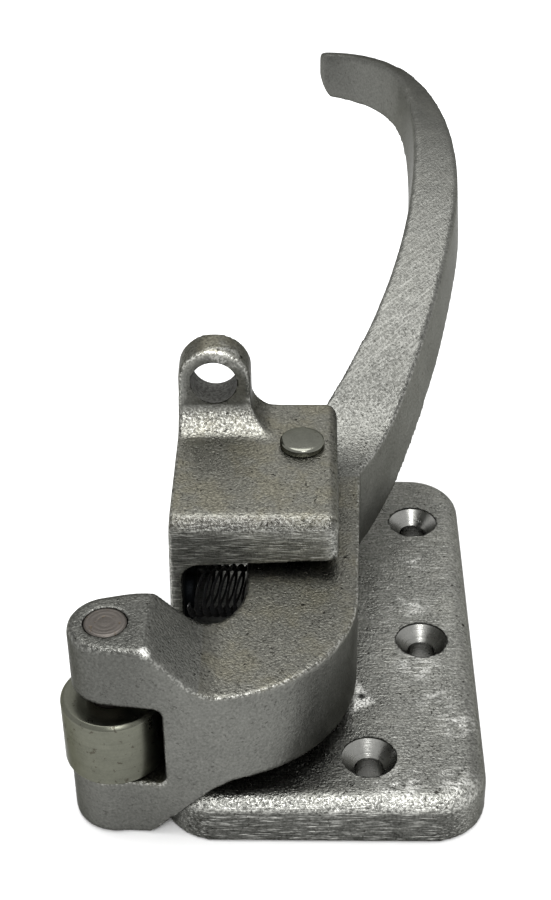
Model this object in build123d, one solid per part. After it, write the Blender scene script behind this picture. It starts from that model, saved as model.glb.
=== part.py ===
# Roller latch with a curved hand lever on a screw plate
# Millimetres, origin at the middle of the plate's underside, X right, Y back, Z up
import math
import os

from build123d import *

# Screw plate
PLATE_WIDTH = 74.0
PLATE_LENGTH = 124.4
PLATE_THICKNESS = 12.0
PLATE_CORNER_R = 13.0
PLATE_EDGE_R = 4.5

# Countersunk screw holes
SCREW_R = 3.4
SCREW_HEAD_R = 6.35
SCREW_HEAD_RIM = 0.5
SCREW_HEAD_CONE = 3.3
FRONT_SCREW_X = 10.2
FRONT_SCREW_Y = -47.3
SIDE_SCREWS_X = 24.2
MIDDLE_SCREW_Y = -7.1
BACK_SCREW_Y = 40.7

# Wall, post and cap that hold the top of the pivot
HOUSING_FRONT_Y = -18.0
HOUSING_BACK_Y = 31.5
WALL_THICKNESS = 3.7
WALL_CORNER_R = 4.0
POST_WIDTH = 9.0
POST_DEPTH = 12.0
CAP_RIGHT_X = 3.3
CAP_TOP_Z = 56.5
CAP_LEFT_X = -36.0
CAP_UNDERSIDE_LEFT_Z = 43.6
CAP_UNDERSIDE_RIGHT_Z = 45.5
CAP_FRONT_R = 4.5
CAP_EDGE_R = 2.5

# Padlock lug
LUG_CENTRE_X = -27.0
LUG_CENTRE_Z = 68.4
LUG_R = 9.0
LUG_THICKNESS = 8.8
LUG_HOLE_R = 5.7
LUG_SIDE_FOOT_R = 6.5
LUG_FRONT_FOOT_R = 7.5

# Pivot
PIVOT_X = -5.4
PIVOT_Y = 13.3
PIVOT_R = 4.5
PIVOT_HEAD_R = 5.4
PIVOT_HEAD_HEIGHT = 2.2
PIVOT_HEAD_BEVEL = 0.5
PIVOT_FOOT_INSET = 0.5
PIVOT_BOSS_R = 12.2
HUB_R = 12.8
HUB_GAP = 0.2
PIN_CLEARANCE = 0.05

# Arm of the handle
ARM_BOTTOM_Z = 17.5
ARM_THICKNESS = 25.0
ARM_BEND_X = -27.7
ARM_BEND_Y = -25.7
ARM_BEND_R = 35.4
ARM_INNER_R = 15.5
ARM_INNER_FRONT_Y = -39.2
KINK_X = 9.1
KINK_Y = 21.9

# Clevis, roller and roller pin
ROLLER_X = -47.2
ROLLER_Y = -49.8
ROLLER_R = 11.4
ROLLER_HEIGHT = 17.7
ROLLER_RIM = 0.8
ROLLER_GAP = 0.15
ROLLER_SIDE_GAP = 0.5
ROLLER_PIN_R = 4.7
EAR_X = -46.5
EAR_R = 9.2
LOWER_EAR_R = 10.2
LOWER_EAR_EDGE_R = 1.2
EAR_TOP_Z = 54.5
EAR_SLOT_BOTTOM_Z = 16.0
EAR_SLOT_TOP_Z = 38.3
EAR_SLOT_CORNER_R = 2.0
EAR_BACK_X = -42.0
EAR_INNER_X = -38.0
EAR_FOOT_X = -39.3
LOWER_RAMP_FOOT_R = 5.0
LOWER_RAMP_TOP_R = 13.0
UPPER_RAMP_FOOT_R = 11.0
EAR_TOP_EDGE_R = 1.6
UPPER_RAMP_ANGLE = 45.0
LOWER_RAMP_ANGLE = 46.0
REST_GAP = 0.3

# Lever seen from above, as arcs that run on from each other
OUTER_HEADING = 60.6
OUTER_ROOT_R = 274.9
OUTER_ROOT_TURN = 17.3
OUTER_MIDDLE_R = 98.9
OUTER_MIDDLE_TURN = 55.8
OUTER_TIP_R = 30.6
OUTER_TIP_TURN = 30.4
INNER_HEADING = 52.5
GRIP_WIDTH = 17.4
BEND_WIDTH = 14.6
HOOK_WIDTH = 10.8
TIP_WIDTH = 11.2
OUTER_LEAN = 3.5
INNER_LEAN = 4.0
TIP_ROUNDING = 0.2
LEVER_TOP_Z = 90.0

# Lever seen from the side, as arcs that run on from each other
RISE_START_Y = 23.0
RISE_FOOT_R = 43.9
RISE_FOOT_TURN = 28.2
RISE_LOWER_R = 479.4
RISE_LOWER_TURN = 10.5
RISE_UPPER_R = 162.5
RISE_UPPER_TURN = 11.9
CREST_R = 80.0
CREST_TURN = 45.0
UNDERSIDE_START_Y = 14.0
UNDERSIDE_FOOT_R = 64.5
UNDERSIDE_FOOT_TURN = 31.8
UNDERSIDE_RISE_R = 395.1
UNDERSIDE_RISE_TURN = 14.7
UNDERSIDE_CREST_R = 95.4
UNDERSIDE_CREST_TURN = 40.0

# Return spring
SPRING_Y = -10.0
SPRING_Z = 30.0
SPRING_WIRE_R = 0.95
SPRING_OUTER_R = 6.5
SPRING_TURNS = 5.5
SPRING_STEPS_PER_TURN = 24
SPRING_WIRE_FLATS = 8
SPRING_POCKET_DEPTH = 7.0
SPRING_POCKET_CLEARANCE = 0.5
SPRING_END_GAP = 0.1
SPRING_SPIGOT_LENGTH = 2.5
SPRING_SPIGOT_CLEARANCE = 0.4

# How far cutting shapes run past the faces that they cut
OVERSHOOT = 1.0

# Sizes worked out from the ones above
PLATE_LEFT_X = -PLATE_WIDTH / 2
ARM_TOP_Z = ARM_BOTTOM_Z + ARM_THICKNESS
ARM_LEFT_X = PIVOT_X - HUB_R
WALL_INNER_X = PLATE_LEFT_X + WALL_THICKNESS
SLOT_WALL_X = ROLLER_X + ROLLER_R + ROLLER_SIDE_GAP
PIVOT_HOLE_R = PIVOT_R + PIN_CLEARANCE
ROLLER_BORE_R = ROLLER_PIN_R + PIN_CLEARANCE
SPRING_INNER_R = SPRING_OUTER_R - 2 * SPRING_WIRE_R
SPRING_START_X = WALL_INNER_X + SPRING_END_GAP
SPRING_END_X = ARM_LEFT_X + SPRING_POCKET_DEPTH - SPRING_END_GAP
REACH = 2 * PLATE_LENGTH


def block(x_range, y_range, z_range):
    size = [high - low for low, high in (x_range, y_range, z_range)]
    middle = [(high + low) / 2 for low, high in (x_range, y_range, z_range)]
    return Pos(*middle) * Box(*size)


def post_of(x, y, radius, bottom, top):
    return Pos(x, y, (bottom + top) / 2) * Cylinder(radius, top - bottom)


def along_y(face, start, end):
    return Pos(0, start, 0) * extrude(face, end - start, dir=(0, 1, 0))


# Screw plate and its holes
def plate_outline(grow):
    return RectangleRounded(PLATE_WIDTH + 2 * grow, PLATE_LENGTH + 2 * grow, PLATE_CORNER_R + grow)


def plate(grow):
    slab = extrude(plate_outline(grow), PLATE_THICKNESS + grow)
    top_edges = slab.faces().sort_by(Axis.Z)[-1].edges()
    return fillet(top_edges, PLATE_EDGE_R + grow)


def screw_hole(x, y):
    rim_z = PLATE_THICKNESS - SCREW_HEAD_RIM
    cone_z = rim_z - SCREW_HEAD_CONE
    hole = post_of(x, y, SCREW_R, -OVERSHOOT, PLATE_THICKNESS + OVERSHOOT)
    rim = post_of(x, y, SCREW_HEAD_R, rim_z, PLATE_THICKNESS + OVERSHOOT)
    cone = Pos(x, y, (rim_z + cone_z) / 2) * Cone(SCREW_R, SCREW_HEAD_R, SCREW_HEAD_CONE)
    return hole + rim + cone


def screw_holes():
    front = screw_hole(FRONT_SCREW_X, FRONT_SCREW_Y)
    middle = screw_hole(SIDE_SCREWS_X, MIDDLE_SCREW_Y)
    back = screw_hole(SIDE_SCREWS_X, BACK_SCREW_Y)
    return front + middle + back


# Wall, post and cap
def housing():
    foot_z = PLATE_THICKNESS - PLATE_EDGE_R
    outline = Polyline(
        (PLATE_LEFT_X, 0, foot_z),
        (WALL_INNER_X, 0, foot_z),
        (WALL_INNER_X, 0, CAP_UNDERSIDE_LEFT_Z),
        (CAP_RIGHT_X, 0, CAP_UNDERSIDE_RIGHT_Z),
        (CAP_RIGHT_X, 0, CAP_TOP_Z),
        (CAP_LEFT_X, 0, CAP_TOP_Z),
        close=True,
    )
    body = along_y(make_face(outline), HOUSING_FRONT_Y, HOUSING_BACK_Y)
    inner_corner = body.edges().filter_by(Axis.Y).sort_by_distance((WALL_INNER_X, 0, CAP_UNDERSIDE_LEFT_Z))[0]
    body = fillet(inner_corner, WALL_CORNER_R)
    top = body.faces().sort_by(Axis.Z)[-1]
    front_edge = top.edges().sort_by(Axis.Y)[0]
    body = fillet(front_edge, CAP_FRONT_R)
    right = body.faces().sort_by(Axis.X)[-1]
    underside = right.edges().sort_by(Axis.Z)[0]
    return fillet([edge for edge in right.edges() if edge != underside], CAP_EDGE_R)


def corner_post():
    post_x = (PLATE_LEFT_X, PLATE_LEFT_X + POST_WIDTH)
    post_y = (HOUSING_BACK_Y - POST_DEPTH, HOUSING_BACK_Y)
    return block(post_x, post_y, (PLATE_THICKNESS - PLATE_EDGE_R, CAP_UNDERSIDE_RIGHT_Z))


# Padlock lug, its side outline cut by its front outline
def lug_front_outline():
    left = LUG_CENTRE_X - LUG_R
    right = LUG_CENTRE_X + LUG_R
    foot_z = CAP_TOP_Z + LUG_SIDE_FOOT_R
    toe = right + LUG_SIDE_FOOT_R
    side = Line((left, 0, CAP_TOP_Z), (left, 0, LUG_CENTRE_Z))
    crown = ThreePointArc(side @ 1, (LUG_CENTRE_X, 0, LUG_CENTRE_Z + LUG_R), (right, 0, LUG_CENTRE_Z))
    flank = Line(crown @ 1, (right, 0, foot_z))
    bulge = LUG_SIDE_FOOT_R * (1 - math.sqrt(0.5))
    foot = ThreePointArc(flank @ 1, (right + bulge, 0, CAP_TOP_Z + bulge), (toe, 0, CAP_TOP_Z))
    sunk_z = CAP_TOP_Z - OVERSHOOT
    base = Polyline(foot @ 1, (toe, 0, sunk_z), (left, 0, sunk_z), side @ 0)
    return make_face(side + crown + flank + foot + base)


def lug_side_outline():
    face_y = HOUSING_BACK_Y - LUG_THICKNESS
    top_z = LUG_CENTRE_Z + LUG_R
    toe_y = face_y - LUG_FRONT_FOOT_R
    bulge = LUG_FRONT_FOOT_R * (1 - math.sqrt(0.5))
    face = Line((0, face_y, top_z), (0, face_y, CAP_TOP_Z + LUG_FRONT_FOOT_R))
    foot = ThreePointArc(face @ 1, (0, face_y - bulge, CAP_TOP_Z + bulge), (0, toe_y, CAP_TOP_Z))
    sunk_z = CAP_TOP_Z - OVERSHOOT
    base = Polyline(foot @ 1, (0, toe_y, sunk_z), (0, HOUSING_BACK_Y, sunk_z), (0, HOUSING_BACK_Y, top_z), face @ 0)
    return make_face(face + foot + base)


def lug():
    front = along_y(lug_front_outline(), 0, HOUSING_BACK_Y)
    side = Pos(-REACH / 2, 0, 0) * extrude(lug_side_outline(), REACH, dir=(1, 0, 0))
    return front & side


def lug_hole():
    axis_at = Pos(LUG_CENTRE_X, HOUSING_BACK_Y, LUG_CENTRE_Z)
    return axis_at * Rot(90, 0, 0) * Cylinder(LUG_HOLE_R, REACH)


def spring_spigot():
    radius = SPRING_INNER_R - SPRING_SPIGOT_CLEARANCE
    middle_x = WALL_INNER_X + SPRING_SPIGOT_LENGTH / 2
    return Pos(middle_x, SPRING_Y, SPRING_Z) * Rot(0, 90, 0) * Cylinder(radius, SPRING_SPIGOT_LENGTH)


def base_casting():
    boss = post_of(PIVOT_X, PIVOT_Y, PIVOT_BOSS_R, PLATE_THICKNESS - OVERSHOOT, ARM_BOTTOM_Z - HUB_GAP)
    body = plate(0) + boss + housing() + corner_post() + lug() + spring_spigot()
    pivot_hole = post_of(PIVOT_X, PIVOT_Y, PIVOT_R, -OVERSHOOT, CAP_TOP_Z + OVERSHOOT)
    return body - screw_holes() - lug_hole() - pivot_hole


# Point where a line from an outer point touches a circle, with the circle on the line's left
def tangent_point(centre, radius, outer):
    across = centre[0] - outer[0]
    back = centre[1] - outer[1]
    reach = math.hypot(across, back)
    heading = math.atan2(back, across) - math.asin(radius / reach)
    run = math.sqrt(reach**2 - radius**2)
    return (outer[0] + run * math.cos(heading), outer[1] + run * math.sin(heading))


# Handle seen from above, without the lever
def arm_outline():
    ear = (EAR_X, ROLLER_Y)
    across = ARM_BEND_X - EAR_X
    back = ARM_BEND_Y - ROLLER_Y
    tilt = math.atan2(back, across) - math.asin((ARM_BEND_R - EAR_R) / math.hypot(across, back))
    away = (math.sin(tilt), -math.cos(tilt))
    ear_front = (ear[0] + EAR_R * away[0], ear[1] + EAR_R * away[1])
    bend_front = (ARM_BEND_X + ARM_BEND_R * away[0], ARM_BEND_Y + ARM_BEND_R * away[1])
    halfway = ARM_BEND_R * math.sqrt(0.5)
    ear_back = tangent_point(ear, EAR_R, (EAR_BACK_X, ARM_INNER_FRONT_Y))
    ear_round = ThreePointArc(ear_back, (ear[0] - EAR_R, ear[1]), ear_front)
    front = Line(ear_front, bend_front)
    bend = ThreePointArc(
        bend_front, (ARM_BEND_X + halfway, ARM_BEND_Y - halfway), (ARM_BEND_X + ARM_BEND_R, ARM_BEND_Y)
    )
    right = Line(bend @ 1, (KINK_X, KINK_Y))
    hub_back = (PIVOT_X, PIVOT_Y + HUB_R)
    root = Line(right @ 1, hub_back)
    diagonal = HUB_R * math.sqrt(0.5)
    hub = ThreePointArc(hub_back, (PIVOT_X - diagonal, PIVOT_Y + diagonal), (ARM_LEFT_X, PIVOT_Y))
    inner = FilletPolyline(
        hub @ 1, (ARM_LEFT_X, ARM_INNER_FRONT_Y), (EAR_BACK_X, ARM_INNER_FRONT_Y), ear_back, radius=ARM_INNER_R
    )
    return make_face(ear_round + front + bend + right + root + hub + inner)


# Arm and clevis seen from the front
def arm_front_outline():
    left = ROLLER_X - 2 * EAR_R
    right = KINK_X + EAR_R
    upper_run = (EAR_TOP_Z - ARM_TOP_Z) / math.tan(math.radians(UPPER_RAMP_ANGLE))
    lower_run = ARM_BOTTOM_Z / math.tan(math.radians(LOWER_RAMP_ANGLE))
    upper_foot = (EAR_INNER_X + upper_run, ARM_TOP_Z)
    outline = Polygon(
        (left, 0),
        (EAR_FOOT_X, 0),
        (EAR_FOOT_X + lower_run, ARM_BOTTOM_Z),
        (right, ARM_BOTTOM_Z),
        (right, ARM_TOP_Z),
        upper_foot,
        (EAR_INNER_X, EAR_TOP_Z),
        (left, EAR_TOP_Z),
        align=None,
    )
    foot_corner = outline.vertices().sort_by_distance((*upper_foot, 0))[0]
    outline = fillet(foot_corner, UPPER_RAMP_FOOT_R)
    toe_corner = outline.vertices().sort_by_distance((EAR_FOOT_X, 0, 0))[0]
    outline = fillet(toe_corner, LOWER_RAMP_FOOT_R)
    ramp_top = outline.vertices().sort_by_distance((EAR_FOOT_X + lower_run, ARM_BOTTOM_Z, 0))[0]
    outline = fillet(ramp_top, LOWER_RAMP_TOP_R)
    return Plane.XZ * outline


def clevis_slot():
    slot = block((ROLLER_X - REACH, SLOT_WALL_X), (-REACH, REACH), (EAR_SLOT_BOTTOM_Z, EAR_SLOT_TOP_Z))
    inner_edges = slot.faces().sort_by(Axis.X)[-1].edges().filter_by(Axis.Y)
    return fillet(inner_edges, EAR_SLOT_CORNER_R)


def arm():
    from_front = extrude(arm_front_outline(), REACH, both=True)
    body = from_front & extrude(arm_outline(), EAR_TOP_Z)
    ear_top = body.faces().sort_by(Axis.Z)[-1]
    body = fillet(ear_top.edges(), EAR_TOP_EDGE_R)
    lower_ear = post_of(ROLLER_X, ROLLER_Y, LOWER_EAR_R, 0, EAR_SLOT_TOP_Z)
    foot = lower_ear.edges().filter_by(GeomType.CIRCLE).sort_by(Axis.Z)[0]
    return body + fillet(foot, LOWER_EAR_EDGE_R) - clevis_slot()


def heading_vector(heading):
    return (math.cos(math.radians(heading)), math.sin(math.radians(heading)))


# Arcs that run on from each other, as pairs of a radius and a turn to the left in degrees
def arc_run(start, heading, steps):
    radius, turn = steps[0]
    run = [JernArc(start, heading_vector(heading), radius, turn)]
    for radius, turn in steps[1:]:
        run.append(JernArc(run[-1] @ 1, run[-1] % 1, radius, turn))
    return run


# Point to the left of a curve, at a share of its length
def left_of(curve, share, width):
    along = curve % share
    return curve @ share + Vector(-along.Y, along.X) * width


# Lever seen from above at one height, its two walls leaning inwards above the arm
def lever_outline(height):
    rise = max(height - ARM_TOP_Z, 0)
    outer_in = rise * math.tan(math.radians(OUTER_LEAN))
    inner_in = rise * math.tan(math.radians(INNER_LEAN))
    outer_angle = math.radians(OUTER_HEADING)
    inner_angle = math.radians(INNER_HEADING)
    outer_start = (KINK_X - outer_in * math.sin(outer_angle), KINK_Y + outer_in * math.cos(outer_angle))
    inner_reach = HUB_R - inner_in
    inner_start = (PIVOT_X - inner_reach * math.sin(inner_angle), PIVOT_Y + inner_reach * math.cos(inner_angle))
    outer = arc_run(
        outer_start,
        OUTER_HEADING,
        (
            (OUTER_ROOT_R - outer_in, OUTER_ROOT_TURN),
            (OUTER_MIDDLE_R - outer_in, OUTER_MIDDLE_TURN),
            (OUTER_TIP_R - outer_in, OUTER_TIP_TURN),
        ),
    )
    bend, hook = outer[1:]
    narrowing = outer_in + inner_in
    stations = (
        left_of(bend, 0, GRIP_WIDTH - narrowing),
        left_of(bend, 0.5, BEND_WIDTH - narrowing),
        left_of(bend, 0.75, HOOK_WIDTH - narrowing),
        left_of(bend, 1, HOOK_WIDTH - narrowing),
        left_of(hook, 0.75, TIP_WIDTH - narrowing),
    )
    inner = Spline(inner_start, *stations, tangents=(heading_vector(INNER_HEADING), hook % 0.75))
    root = Line(inner_start, outer_start)
    tip = Line(hook @ 1, inner @ 1)
    face = make_face([root, *outer, tip, inner])
    tip_corners = [face.vertices().sort_by_distance(end)[0] for end in (tip @ 0, tip @ 1)]
    return Pos(0, 0, height) * fillet(tip_corners, TIP_ROUNDING * tip.length)


# Lever seen from the side, drawn with Y across and Z up
def lever_side():
    top = arc_run(
        (RISE_START_Y, ARM_TOP_Z),
        0,
        (
            (RISE_FOOT_R, RISE_FOOT_TURN),
            (RISE_LOWER_R, -RISE_LOWER_TURN),
            (RISE_UPPER_R, -RISE_UPPER_TURN),
            (CREST_R, -CREST_TURN),
        ),
    )
    underside = arc_run(
        (UNDERSIDE_START_Y, ARM_BOTTOM_Z),
        0,
        (
            (UNDERSIDE_FOOT_R, UNDERSIDE_FOOT_TURN),
            (UNDERSIDE_RISE_R, -UNDERSIDE_RISE_TURN),
            (UNDERSIDE_CREST_R, -UNDERSIDE_CREST_TURN),
        ),
    )
    root = Polyline(underside[0] @ 0, (PIVOT_Y, ARM_BOTTOM_Z), (PIVOT_Y, ARM_TOP_Z), top[0] @ 0)
    end = Line(top[-1] @ 1, underside[-1] @ 1)
    return Plane.YZ * make_face([root, *top, end, *underside])


def lever():
    upright = Pos(0, 0, ARM_BOTTOM_Z) * extrude(lever_outline(0), ARM_THICKNESS)
    leaning = loft([lever_outline(ARM_TOP_Z), lever_outline(LEVER_TOP_Z)], ruled=True)
    from_side = extrude(lever_side(), REACH, both=True)
    return (upright + leaning) & from_side


def rest_relief():
    return plate(REST_GAP) + Pos(0, 0, -OVERSHOOT) * extrude(plate_outline(REST_GAP), 2 * OVERSHOOT)


def spring_pocket():
    radius = SPRING_OUTER_R + SPRING_POCKET_CLEARANCE
    pocket = Pos(ARM_LEFT_X, SPRING_Y, SPRING_Z) * Rot(0, 90, 0) * Cylinder(radius, 2 * SPRING_POCKET_DEPTH)
    return pocket


def handle_casting():
    body = arm() + lever()
    pivot_hole = post_of(PIVOT_X, PIVOT_Y, PIVOT_HOLE_R, 0, CAP_TOP_Z)
    pin_hole = post_of(ROLLER_X, ROLLER_Y, ROLLER_PIN_R, -OVERSHOOT, EAR_TOP_Z + OVERSHOOT)
    return body - pivot_hole - pin_hole - rest_relief() - spring_pocket()


# Pins and roller
def pivot_pin():
    shank = post_of(PIVOT_X, PIVOT_Y, PIVOT_R, PIVOT_FOOT_INSET, CAP_TOP_Z + PIVOT_HEAD_HEIGHT / 2)
    head = post_of(PIVOT_X, PIVOT_Y, PIVOT_HEAD_R, CAP_TOP_Z, CAP_TOP_Z + PIVOT_HEAD_HEIGHT)
    rim = head.edges().filter_by(GeomType.CIRCLE).sort_by(Axis.Z)[-1]
    return shank + chamfer(rim, PIVOT_HEAD_BEVEL)


def roller():
    bottom = EAR_SLOT_BOTTOM_Z + ROLLER_GAP
    body = post_of(ROLLER_X, ROLLER_Y, ROLLER_R, bottom, bottom + ROLLER_HEIGHT)
    body = chamfer(body.edges().filter_by(GeomType.CIRCLE), ROLLER_RIM)
    return body - post_of(ROLLER_X, ROLLER_Y, ROLLER_BORE_R, 0, EAR_TOP_Z)


def roller_pin():
    return post_of(ROLLER_X, ROLLER_Y, ROLLER_PIN_R, 0, EAR_TOP_Z)


# Return spring wound about an axis along X, in short straight steps
# Its round wire is drawn with a few flats, to keep the solid light
def spring_path():
    length = SPRING_END_X - SPRING_START_X - 2 * SPRING_WIRE_R
    coil_r = SPRING_OUTER_R - SPRING_WIRE_R
    steps = round(SPRING_TURNS * SPRING_STEPS_PER_TURN)
    points = []
    for step in range(steps + 1):
        angle = math.tau * step / SPRING_STEPS_PER_TURN
        rise = length * step / steps
        points.append((coil_r * math.cos(angle), coil_r * math.sin(angle), rise))
    return Polyline(*points)


def return_spring():
    path = spring_path()
    wire = Plane(origin=path @ 0, z_dir=path % 0) * RegularPolygon(SPRING_WIRE_R, SPRING_WIRE_FLATS)
    coil = sweep(wire, path=path, transition=Transition.RIGHT)
    return Pos(SPRING_START_X + SPRING_WIRE_R, SPRING_Y, SPRING_Z) * Rot(0, 90, 0) * coil


def main():
    os.makedirs("parts", exist_ok=True)
    export_step(base_casting(), "parts/base_casting.step")
    export_step(handle_casting(), "parts/handle_casting.step")
    export_step(pivot_pin(), "parts/pivot_pin.step")
    export_step(roller(), "parts/roller.step")
    export_step(roller_pin(), "parts/roller_pin.step")
    export_step(return_spring(), "parts/return_spring.step")


main()
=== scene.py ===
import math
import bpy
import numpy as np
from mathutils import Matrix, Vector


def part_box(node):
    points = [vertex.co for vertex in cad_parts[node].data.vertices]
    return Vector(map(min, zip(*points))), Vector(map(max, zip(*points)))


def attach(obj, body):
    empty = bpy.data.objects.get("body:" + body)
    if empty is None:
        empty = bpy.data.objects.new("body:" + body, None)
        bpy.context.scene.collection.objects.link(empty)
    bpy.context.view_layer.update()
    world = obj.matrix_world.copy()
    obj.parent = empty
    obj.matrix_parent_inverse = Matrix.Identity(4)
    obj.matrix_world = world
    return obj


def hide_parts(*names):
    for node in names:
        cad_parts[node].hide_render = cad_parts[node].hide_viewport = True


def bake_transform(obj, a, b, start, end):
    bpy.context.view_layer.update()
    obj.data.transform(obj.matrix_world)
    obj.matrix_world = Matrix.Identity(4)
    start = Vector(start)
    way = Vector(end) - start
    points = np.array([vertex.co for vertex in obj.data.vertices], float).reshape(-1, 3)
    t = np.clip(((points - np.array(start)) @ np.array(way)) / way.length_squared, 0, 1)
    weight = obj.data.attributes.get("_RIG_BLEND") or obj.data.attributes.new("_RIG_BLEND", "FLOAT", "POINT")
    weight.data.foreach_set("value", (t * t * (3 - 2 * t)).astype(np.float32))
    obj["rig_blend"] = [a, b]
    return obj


bl_info = {
    "name": "Roller latch handle",
    "version": (1, 0, 0),
    "blender": (4, 5, 0),
    "location": "View3D > Sidebar > Latch",
    "description": "Builds a cast roller latch with a curved hand lever, its roller, pins and spring",
    "category": "Object",
}

import bmesh
import bpy
from mathutils import Matrix, Vector, noise
from mathutils.bvhtree import BVHTree

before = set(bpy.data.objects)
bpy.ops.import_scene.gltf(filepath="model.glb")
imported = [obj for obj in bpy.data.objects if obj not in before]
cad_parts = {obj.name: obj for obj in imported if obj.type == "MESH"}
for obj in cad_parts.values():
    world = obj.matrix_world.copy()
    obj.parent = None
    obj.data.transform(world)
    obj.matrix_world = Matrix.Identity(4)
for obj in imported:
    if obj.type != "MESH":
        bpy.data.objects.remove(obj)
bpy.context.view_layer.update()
MM = 0.001

# Marks painted on the castings' skins, each a number at every point. Some are painted light: the shade, the
# glints and the shade inside the housing
PAINTS = ("sanded", "stained", "housing_shade", "painted_glint", "calm", "scratch_and_glint", "shade")

# The castings' skin: how deep its edges are worn, and its waves and ripples in millimetres
WORN_DEPTH = 0.12 * MM
WAVE_LENGTH = 9.0
RIPPLE_LENGTH = 2.6
RIPPLE_SHIFT = Vector((7.1, 3.3, 5.9))

# Faces round a turned piece
TURN_STEPS = 96

# Sizes in the patterns of the cast metal
FINE_GRAIN = 0.50 * MM
SALT_GRAIN = 0.62 * MM
SPECK_SIZE = 0.85 * MM
PIT_SPACING = 5.0 * MM
PATCH_SIZE = 6.0 * MM
CLOUD_SIZE = 9.0 * MM
SKIN_RELIEF = 0.10 * MM

# How much of a metal's shine is left where it is seen at a grazing angle
CAST_GRAZING = (0.35, 0.35, 0.34, 1.0)
TURNED_GRAZING = (0.4, 0.4, 0.38, 1.0)


# Sizes and colours that a user would change
class StageSettings(bpy.types.PropertyGroup):
    floor_color: bpy.props.FloatVectorProperty(
        name="Floor colour",
        description="Colour of the floor under the latch",
        subtype="COLOR",
        default=(0.96, 0.96, 0.96),
    )
    overhead_power: bpy.props.FloatProperty(
        name="Overhead power",
        description="Power of the softbox over the latch",
        default=6.5,
        unit="POWER",
    )
    key_power: bpy.props.FloatProperty(
        name="Key power",
        description="Power of the lamp above and before the latch",
        default=3.3,
        unit="POWER",
    )
    fill_strength: bpy.props.FloatProperty(
        name="Fill",
        description="Strength of the light from all around",
        default=1.0,
    )
    lens: bpy.props.FloatProperty(
        name="Lens",
        description="Focal length of the camera",
        default=68.0,
        unit="CAMERA",
    )


class CastingSettings(bpy.types.PropertyGroup):
    metal_color: bpy.props.FloatVectorProperty(
        name="Cast metal",
        description="Colour of the sand-cast aluminium",
        subtype="COLOR",
        default=(0.140, 0.141, 0.130),
    )
    stain_color: bpy.props.FloatVectorProperty(
        name="Stain",
        description="Brown-grey tint of the stained tops",
        subtype="COLOR",
        default=(0.128, 0.123, 0.099),
    )
    pit_color: bpy.props.FloatVectorProperty(
        name="Pits",
        description="Colour at the bottom of the casting's pits",
        subtype="COLOR",
        default=(0.022, 0.021, 0.018),
    )
    # Also the colour of the painted highlight on rounded edges that face up and forward
    bright_color: bpy.props.FloatVectorProperty(
        name="Bright metal",
        description="Colour of sanded and worn metal",
        subtype="COLOR",
        default=(0.32, 0.32, 0.30),
    )
    # Painted shade: a near-black colour laid on the surfaces inside the housing and under the cap
    housing_shade_color: bpy.props.FloatVectorProperty(
        name="Grime",
        description="Dark grease inside the housing",
        subtype="COLOR",
        default=(0.014, 0.016, 0.018),
    )
    mesh_step: bpy.props.FloatProperty(
        name="Mesh step",
        description="Size of the faces that the skin is made of",
        default=0.68 * MM,
        unit="LENGTH",
    )
    unevenness: bpy.props.FloatProperty(
        name="Unevenness",
        description="Depth of the skin's low waves",
        default=0.07 * MM,
        unit="LENGTH",
    )
    edge_passes: bpy.props.IntProperty(
        name="Edge passes",
        description="Smoothing passes that round the casting's edges",
        default=2,
    )
    lever_passes: bpy.props.IntProperty(
        name="Lever passes",
        description="Further smoothing passes that round the lever's long edges",
        default=7,
    )
    flat_passes: bpy.props.IntProperty(
        name="Flat passes",
        description="Smoothing passes that even out the wall's left side",
        default=40,
    )
    lug_passes: bpy.props.IntProperty(
        name="Lug passes",
        description="Further smoothing passes that round the lug's front edge",
        default=14,
    )
    tip_cut: bpy.props.FloatProperty(
        name="Tip cut",
        description="How far the lower corner of the lever's tip is cut back",
        default=3.9 * MM,
        unit="LENGTH",
    )


class FittingSettings(bpy.types.PropertyGroup):
    roller_color: bpy.props.FloatVectorProperty(
        name="Roller",
        description="Colour of the plated roller",
        subtype="COLOR",
        default=(0.112, 0.114, 0.092),
    )
    roller_pin_color: bpy.props.FloatVectorProperty(
        name="Roller pin",
        description="Colour of the riveted roller pin",
        subtype="COLOR",
        default=(0.098, 0.089, 0.081),
    )
    pivot_color: bpy.props.FloatVectorProperty(
        name="Pivot head",
        description="Colour of the pivot pin's head",
        subtype="COLOR",
        default=(0.150, 0.152, 0.130),
    )
    spring_color: bpy.props.FloatVectorProperty(
        name="Spring",
        description="Colour of the spring's wire",
        subtype="COLOR",
        default=(0.034, 0.040, 0.046),
    )
    spring_turns: bpy.props.FloatProperty(
        name="Turns",
        description="Turns of the spring",
        default=8.5,
    )
    wire_radius: bpy.props.FloatProperty(
        name="Wire radius",
        description="Radius of the spring's wire",
        default=0.88 * MM,
        unit="LENGTH",
    )
    coil_slant: bpy.props.FloatProperty(
        name="Coil slant",
        description="How far the coils lean along the spring, for each metre backwards",
        default=0.40,
    )
    rim_rounding: bpy.props.FloatProperty(
        name="Rim rounding",
        description="Rounding of turned rims",
        default=0.2 * MM,
        unit="LENGTH",
    )


# Meshes
def finish_mesh(name, mesh, materials, body, replaced):
    piece = bpy.data.objects.new(name, mesh)
    bpy.context.collection.objects.link(piece)
    for material in materials:
        mesh.materials.append(material)
    for face in mesh.polygons:
        face.use_smooth = True
    if body:
        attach(piece, body)
    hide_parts(replaced)
    return piece


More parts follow.
